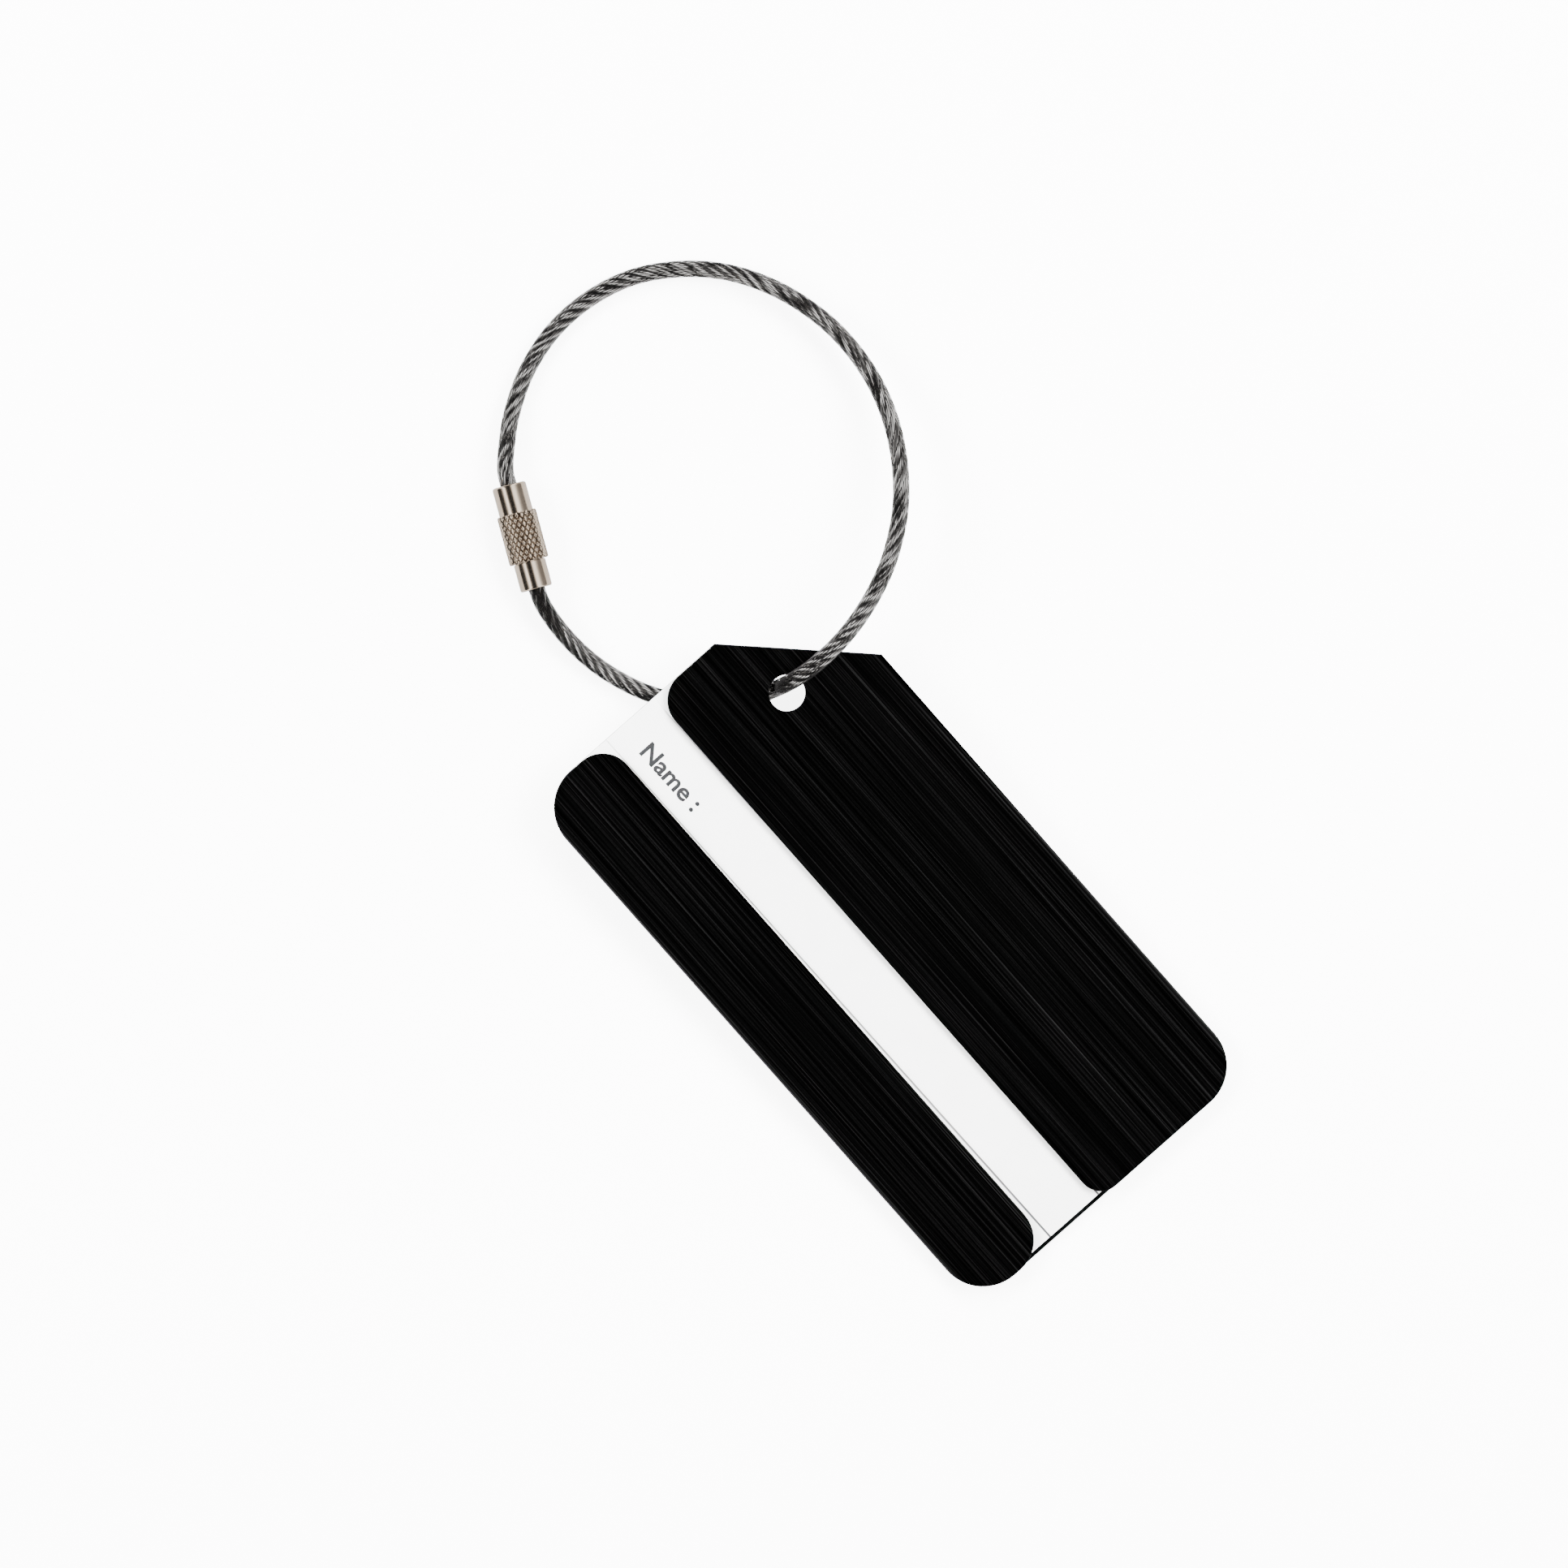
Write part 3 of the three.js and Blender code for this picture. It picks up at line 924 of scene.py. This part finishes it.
def make_barrel(material):
    """Turned nut: a diamond-knurled grip, a smooth neck, and room inside for the stop."""
    diamonds_round = 22
    diamond_length = 1.12 * MM
    knurl_depth = 0.24 * MM
    chamfer = 0.12 * MM
    mouth, mouth_flare = 1.5 * MM, 0.15 * MM
    room, room_start, room_end = 1.75 * MM, 6.6 * MM, 9.6 * MM
    bore, bore_flare = 1.25 * MM, 0.12 * MM
    neck_rounding = 0.3 * MM
    knurl = np.linspace(BARREL_START + chamfer, GRIP_END - chamfer, 78)
    profile = [(mouth, BARREL_START + mouth_flare), (mouth + mouth_flare, BARREL_START)]
    profile += [(GRIP_RADIUS - chamfer, BARREL_START)]
    profile += [(GRIP_RADIUS, z) for z in knurl]
    profile += [(GRIP_RADIUS - chamfer, GRIP_END), (NECK_RADIUS, GRIP_END)]
    profile += [
        (NECK_RADIUS - neck_rounding * (1 - math.cos(a)),
         BARREL_END - neck_rounding * (1 - math.sin(a)))
        for a in np.linspace(0, math.pi / 2, 6)
    ]
    profile += [(bore + bore_flare, BARREL_END), (bore, BARREL_END - bore_flare)]
    profile += [(bore, room_end), (room, room_end), (room, room_start), (mouth, room_start)]
    profile += [profile[0]]
    barrel = turned("knurled_barrel", profile, diamonds_round * 8)

    def knurling(radius, angle, along):
        if not near(radius, GRIP_RADIUS):
            return radius
        turns = diamonds_round * angle / (2 * math.pi)
        rows = along / diamond_length
        height = min(wave(turns + rows), wave(turns - rows))
        return radius - knurl_depth * (1 - math.sin(math.pi / 2 * min(1, 1.6 * height)))

    reshape_round(barrel, knurling)
    face_outwards(barrel)
    paint_groove_shade(barrel, knurl_depth)
    shade(barrel, 25)
    return set_down(barrel, FROM_CLASP_LINE, material, "barrel", "nickel", "clasp_barrel")


def paint_groove_shade(barrel, knurl_depth):
    """Notes how deep each point of the knurl lies, for the painted shade that darkens the grooves.
    """
    depth = barrel.data.attributes.new("groove_shade", "FLOAT", "POINT")
    for vertex, mark in zip(barrel.data.vertices, depth.data):
        x, y, z = vertex.co
        below = GRIP_RADIUS - math.hypot(x, y)
        if BARREL_START < z < GRIP_END and (below < knurl_depth or near(below, knurl_depth)):
            mark.value = max(0, below / knurl_depth)


def make_stop(material):
    """Crimped sleeve inside the barrel, squeezed at two places."""
    outer = 1.55 * MM
    chamfer = 0.1 * MM
    crimp_depth = 0.12 * MM
    crimp_count = 2
    profile = [(CABLE_BORE, STOP_START), (outer - chamfer, STOP_START)]
    profile += [(outer, z) for z in np.linspace(STOP_START + chamfer, STOP_END - chamfer, 20)]
    profile += [(outer - chamfer, STOP_END), (CABLE_BORE, STOP_END), (CABLE_BORE, STOP_START)]
    stop = turned("crimped_stop", profile, 48)

    def crimps(radius, angle, along):
        if not near(radius, outer):
            return radius
        turns = crimp_count * (along - STOP_START) / (STOP_END - STOP_START)
        return radius - crimp_depth * wave(turns) ** 2

    reshape_round(stop, crimps)
    face_outwards(stop)
    shade(stop, 40)
    return set_down(stop, FROM_CLASP_LINE, material, "stop", "nickel", "cable_stop")


# ---------------------------------------------------------------- stage


def make_floor():
    """A pale room. Its floor falls away gently past the tag's bottom edge, where the card
    comes out. The room neither shows in the tag's reflections nor throws light on it."""
    edge = -CASE_LENGTH / 2
    far_edge = edge - FLOOR_FALL - ROOM_HALF

    def at_wall(at):
        return max(abs(at.x), at.y) > ROOM_HALF - MM or at.y < far_edge + MM

    floor = add_plane("floor", (-ROOM_HALF, edge), (ROOM_HALF, ROOM_HALF), 0)
    select_where(floor, "EDGE", lambda at: near(at.y, edge))
    extrude_selected((0, -FLOOR_FALL, -FLOOR_FALL * math.tan(LEAN)))
    extrude_selected((0, -ROOM_HALF, 0))
    select_where(floor, "EDGE", at_wall)
    extrude_selected((0, 0, ROOM_HALF))
    end_edit()
    floor.visible_glossy = False
    floor.visible_diffuse = False
    material, nodes, shader = new_material("pale floor")
    tone = nodes.noise(nodes.place(), 6.0)
    colour = nodes.ramp(tone, [(0.0, (0.86, 0.86, 0.86)), (1.0, (0.88, 0.88, 0.88))])
    nodes.link(colour, shader.inputs["Base Color"])
    shader.inputs["Roughness"].default_value = 0.9
    shader.inputs["Emission Color"].default_value = (1, 1, 1, 1)
    shader.inputs["Emission Strength"].default_value = FLOOR_GLOW
    floor.data.materials.append(material)


def add_softbox(name, bearing, elevation, distance, size, power):
    """An area light aimed at the tag, which shows in no reflection. The bearing is counted in
    degrees clockwise from the top of the view, and the elevation in degrees from the floor."""
    light = bpy.data.lights.new(name, "AREA")
    light.shape = "RECTANGLE"
    light.size, light.size_y = size
    light.energy = power
    lamp = bpy.data.objects.new(name, light)
    turn = VIEW_TURN - math.radians(bearing)
    height = math.radians(elevation)
    level = math.cos(height)
    out = Vector((-math.sin(turn) * level, math.cos(turn) * level, math.sin(height)))
    lamp.location = VIEW_CENTRE + out * distance
    lamp.rotation_euler = out.to_track_quat("Z", "Y").to_euler()
    lamp.visible_glossy = False
    bpy.context.collection.objects.link(lamp)


def light_scene():
    add_softbox(
        "right_softbox", bearing=70, elevation=48, distance=0.7, size=(0.5, 0.35), power=23
    )
    add_softbox(
        "left_softbox", bearing=-80, elevation=42, distance=0.7, size=(0.5, 0.3), power=18
    )
    add_softbox(
        "top_softbox", bearing=0, elevation=40, distance=0.8, size=(0.5, 0.25), power=14
    )


def make_world():
    """The studio that the metal mirrors: upright panels laid out along the clasp's own width,
    and an even pale table below."""
    world = bpy.data.worlds.new("studio")
    world.use_nodes = True
    nodes = Nodes(world.node_tree)
    direction = nodes.add("ShaderNodeTexCoord").outputs["Generated"]
    across = nodes.add("ShaderNodeVectorMath", operation="DOT_PRODUCT")
    across.inputs[1].default_value = (math.cos(CLASP_TURN), -math.sin(CLASP_TURN), 0)
    nodes.link(direction, across.inputs[0])
    place = nodes.math("ADD", nodes.math("MULTIPLY", across.outputs["Value"], 0.5), 0.5)
    panels = nodes.ramp(place, [(at, (glow,) * 3) for at, glow in STUDIO_PANELS])
    split = nodes.add("ShaderNodeSeparateXYZ")
    nodes.link(direction, split.inputs[0])
    below = nodes.math("LESS_THAN", split.outputs[2], TABLE_LEVEL)
    around = nodes.mix_colours(below, panels, (TABLE_GLOW,) * 3)
    background = world.node_tree.nodes["Background"]
    nodes.link(around, background.inputs["Color"])
    background.inputs["Strength"].default_value = WORLD_LIGHT
    bpy.context.scene.world = world


make_camera()
handling = make_handling_group()
wire_finish = make_wire(handling)
nickel = make_nickel(handling)
jacket, strands, cable_path = make_rope(wire_finish, make_jacket())
clasp = [make_stud(nickel), make_barrel(nickel), make_stop(nickel)]

make_case(make_anodised(make_brushing_group()))
make_card(make_card_stock(handling))
make_label(make_ink())

make_floor()
light_scene()
make_world()
